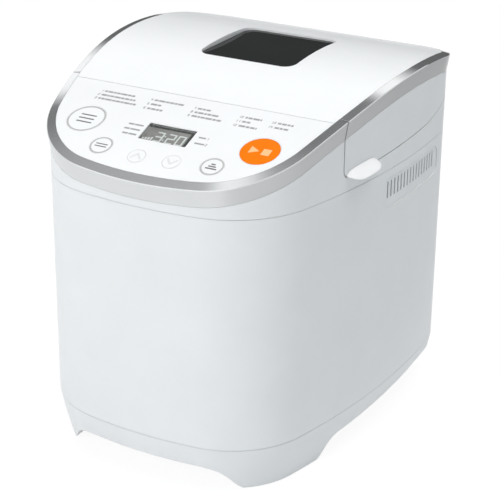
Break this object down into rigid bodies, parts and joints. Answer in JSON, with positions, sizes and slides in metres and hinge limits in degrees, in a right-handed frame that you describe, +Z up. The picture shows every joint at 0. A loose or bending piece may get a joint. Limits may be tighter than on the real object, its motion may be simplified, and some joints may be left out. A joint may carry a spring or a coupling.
{
  "type": "bread machine",
  "caption": "Compact bread machine: rounded white housing, sloping control head, hinged windowed lid, silver trim, lift-out bread pan with kneading paddle and belt drive.",
  "frame": {"origin": "middle of the footprint, on the surface that the rubber feet stand on", "axes": "+Z up, -Y towards the front with the control panel, +X towards the right side with the lid's finger tab"},
  "size_m": [0.2442, 0.286, 0.2743],
  "materials": {
    "body_plastic": "satin",
    "panel_white": "high gloss",
    "orange_plastic": "satin",
    "silver_plastic": "silver paint",
    "display_clear": "clear",
    "display_grey": "matt",
    "board_green": "matt",
    "black_plastic": "matt",
    "black_rubber": "matt",
    "pale_silicone": "matt",
    "steel": "brushed",
    "dark_steel": "matt",
    "ceramic": "matt",
    "brass": "satin",
    "cast_aluminium": "cast",
    "non_stick": "non-stick coating",
    "relay_blue": "matt",
    "dark_glass": "dark tinted",
    "clear_glass": "clear"
  },
  "bodies": {
    "housing": {"base": "body_plastic", "body_shell": "body_plastic", "top_housing": "body_plastic", "front_trim": "silver_plastic", "control_panel": "panel_white", "display_lens": "display_clear", "display_module": "display_grey", "panel_board": "board_green", "tact_switches": "black_plastic", "foot_pads": "black_rubber", "base_screws": "steel", "hinge_pins": "steel", "oven_chamber": "steel", "pan_seat": "steel", "seat_springs": "steel", "heating_element": "dark_steel", "heater_terminals": "ceramic", "heater_clips": "steel", "temperature_sensor": "steel", "thermal_fuse": "ceramic", "bearing_bracket": "cast_aluminium", "bearing_bush": "brass", "drive_belt": "black_rubber", "motor_housing": "steel", "motor_bracket": "steel", "run_capacitor": "black_plastic", "power_board": "board_green", "transformer": "dark_steel", "heater_relay": "relay_blue", "terminal_block": "ceramic", "cord_gland": "black_rubber"},
    "lid": {"lid_shell": "body_plastic", "lid_panel": "panel_white", "lid_trim": "silver_plastic", "lid_hinge_arms": "body_plastic", "window_glass": "dark_glass", "window_gasket": "black_rubber", "lid_liner": "steel", "liner_glass": "clear_glass", "lid_seal": "pale_silicone", "liner_screws": "steel", "lift_tab": "panel_white"},
    "menu_key": {"menu_key": "panel_white"},
    "crust_key": {"crust_key": "panel_white"},
    "time_up_key": {"time_up_key": "panel_white"},
    "time_down_key": {"time_down_key": "panel_white"},
    "weight_key": {"weight_key": "panel_white"},
    "start_key": {"start_key": "orange_plastic"},
    "pan": {"bread_pan": "non_stick", "pan_bush": "brass"},
    "bail": {"pan_bail": "steel"},
    "paddle": {"pan_shaft": "steel", "pan_coupling": "steel", "kneading_paddle": "non_stick"},
    "drive": {"drive_shaft": "steel", "drive_coupling": "steel", "drive_pulley": "black_plastic"},
    "motor_rotor": {"motor_shaft": "steel", "motor_pulley": "steel", "motor_fan": "black_plastic"}
  },
  "joints": [
    {"name": "lid_hinge", "type": "hinge", "parent": "housing", "child": "lid", "pos_m": [0, 0.127, 0.229], "axis": [-1, 0, 0], "range_deg": [0, 75]},
    {"name": "menu_key_press", "type": "slide", "parent": "housing", "child": "menu_key", "axis": [0, 0.3553, -0.9347], "range_m": [0, 0.0008], "stiffness_N_per_m": 1500, "springref_m": -0.0003},
    {"name": "crust_key_press", "type": "slide", "parent": "housing", "child": "crust_key", "axis": [0, 0.3553, -0.9347], "range_m": [0, 0.0008], "stiffness_N_per_m": 1500, "springref_m": -0.0003},
    {"name": "time_up_key_press", "type": "slide", "parent": "housing", "child": "time_up_key", "axis": [0, 0.3553, -0.9347], "range_m": [0, 0.0008], "stiffness_N_per_m": 1500, "springref_m": -0.0003},
    {"name": "time_down_key_press", "type": "slide", "parent": "housing", "child": "time_down_key", "axis": [0, 0.3553, -0.9347], "range_m": [0, 0.0008], "stiffness_N_per_m": 1500, "springref_m": -0.0003},
    {"name": "weight_key_press", "type": "slide", "parent": "housing", "child": "weight_key", "axis": [0, 0.3553, -0.9347], "range_m": [0, 0.0008], "stiffness_N_per_m": 1500, "springref_m": -0.0003},
    {"name": "start_key_press", "type": "slide", "parent": "housing", "child": "start_key", "axis": [0, 0.3553, -0.9347], "range_m": [0, 0.0008], "stiffness_N_per_m": 1500, "springref_m": -0.0003},
    {"name": "pan_lift", "type": "slide", "parent": "housing", "child": "pan", "axis": [0, 0, 1], "range_m": [0, 0.012]},
    {"name": "bail_pivot", "type": "hinge", "parent": "pan", "child": "bail", "pos_m": [0, 0.032, 0.1944], "axis": [1, 0, 0], "range_deg": [0, 180]},
    {"name": "drive_spin", "type": "hinge", "parent": "housing", "child": "drive", "pos_m": [0, 0.032, 0.05], "axis": [0, 0, 1], "continuous": true},
    {"name": "paddle_spin", "type": "hinge", "parent": "pan", "child": "paddle", "pos_m": [0, 0.032, 0.09], "axis": [0, 0, 1], "continuous": true},
    {"name": "motor_spin", "type": "hinge", "parent": "housing", "child": "motor_rotor", "pos_m": [0, -0.092, 0.05], "axis": [0, 0, 1], "continuous": true}
  ],
  "couplings": [
    {"joint": "paddle_spin", "follows": "drive_spin", "ratio": 1},
    {"joint": "motor_spin", "follows": "drive_spin", "ratio": 5.1111}
  ]
}
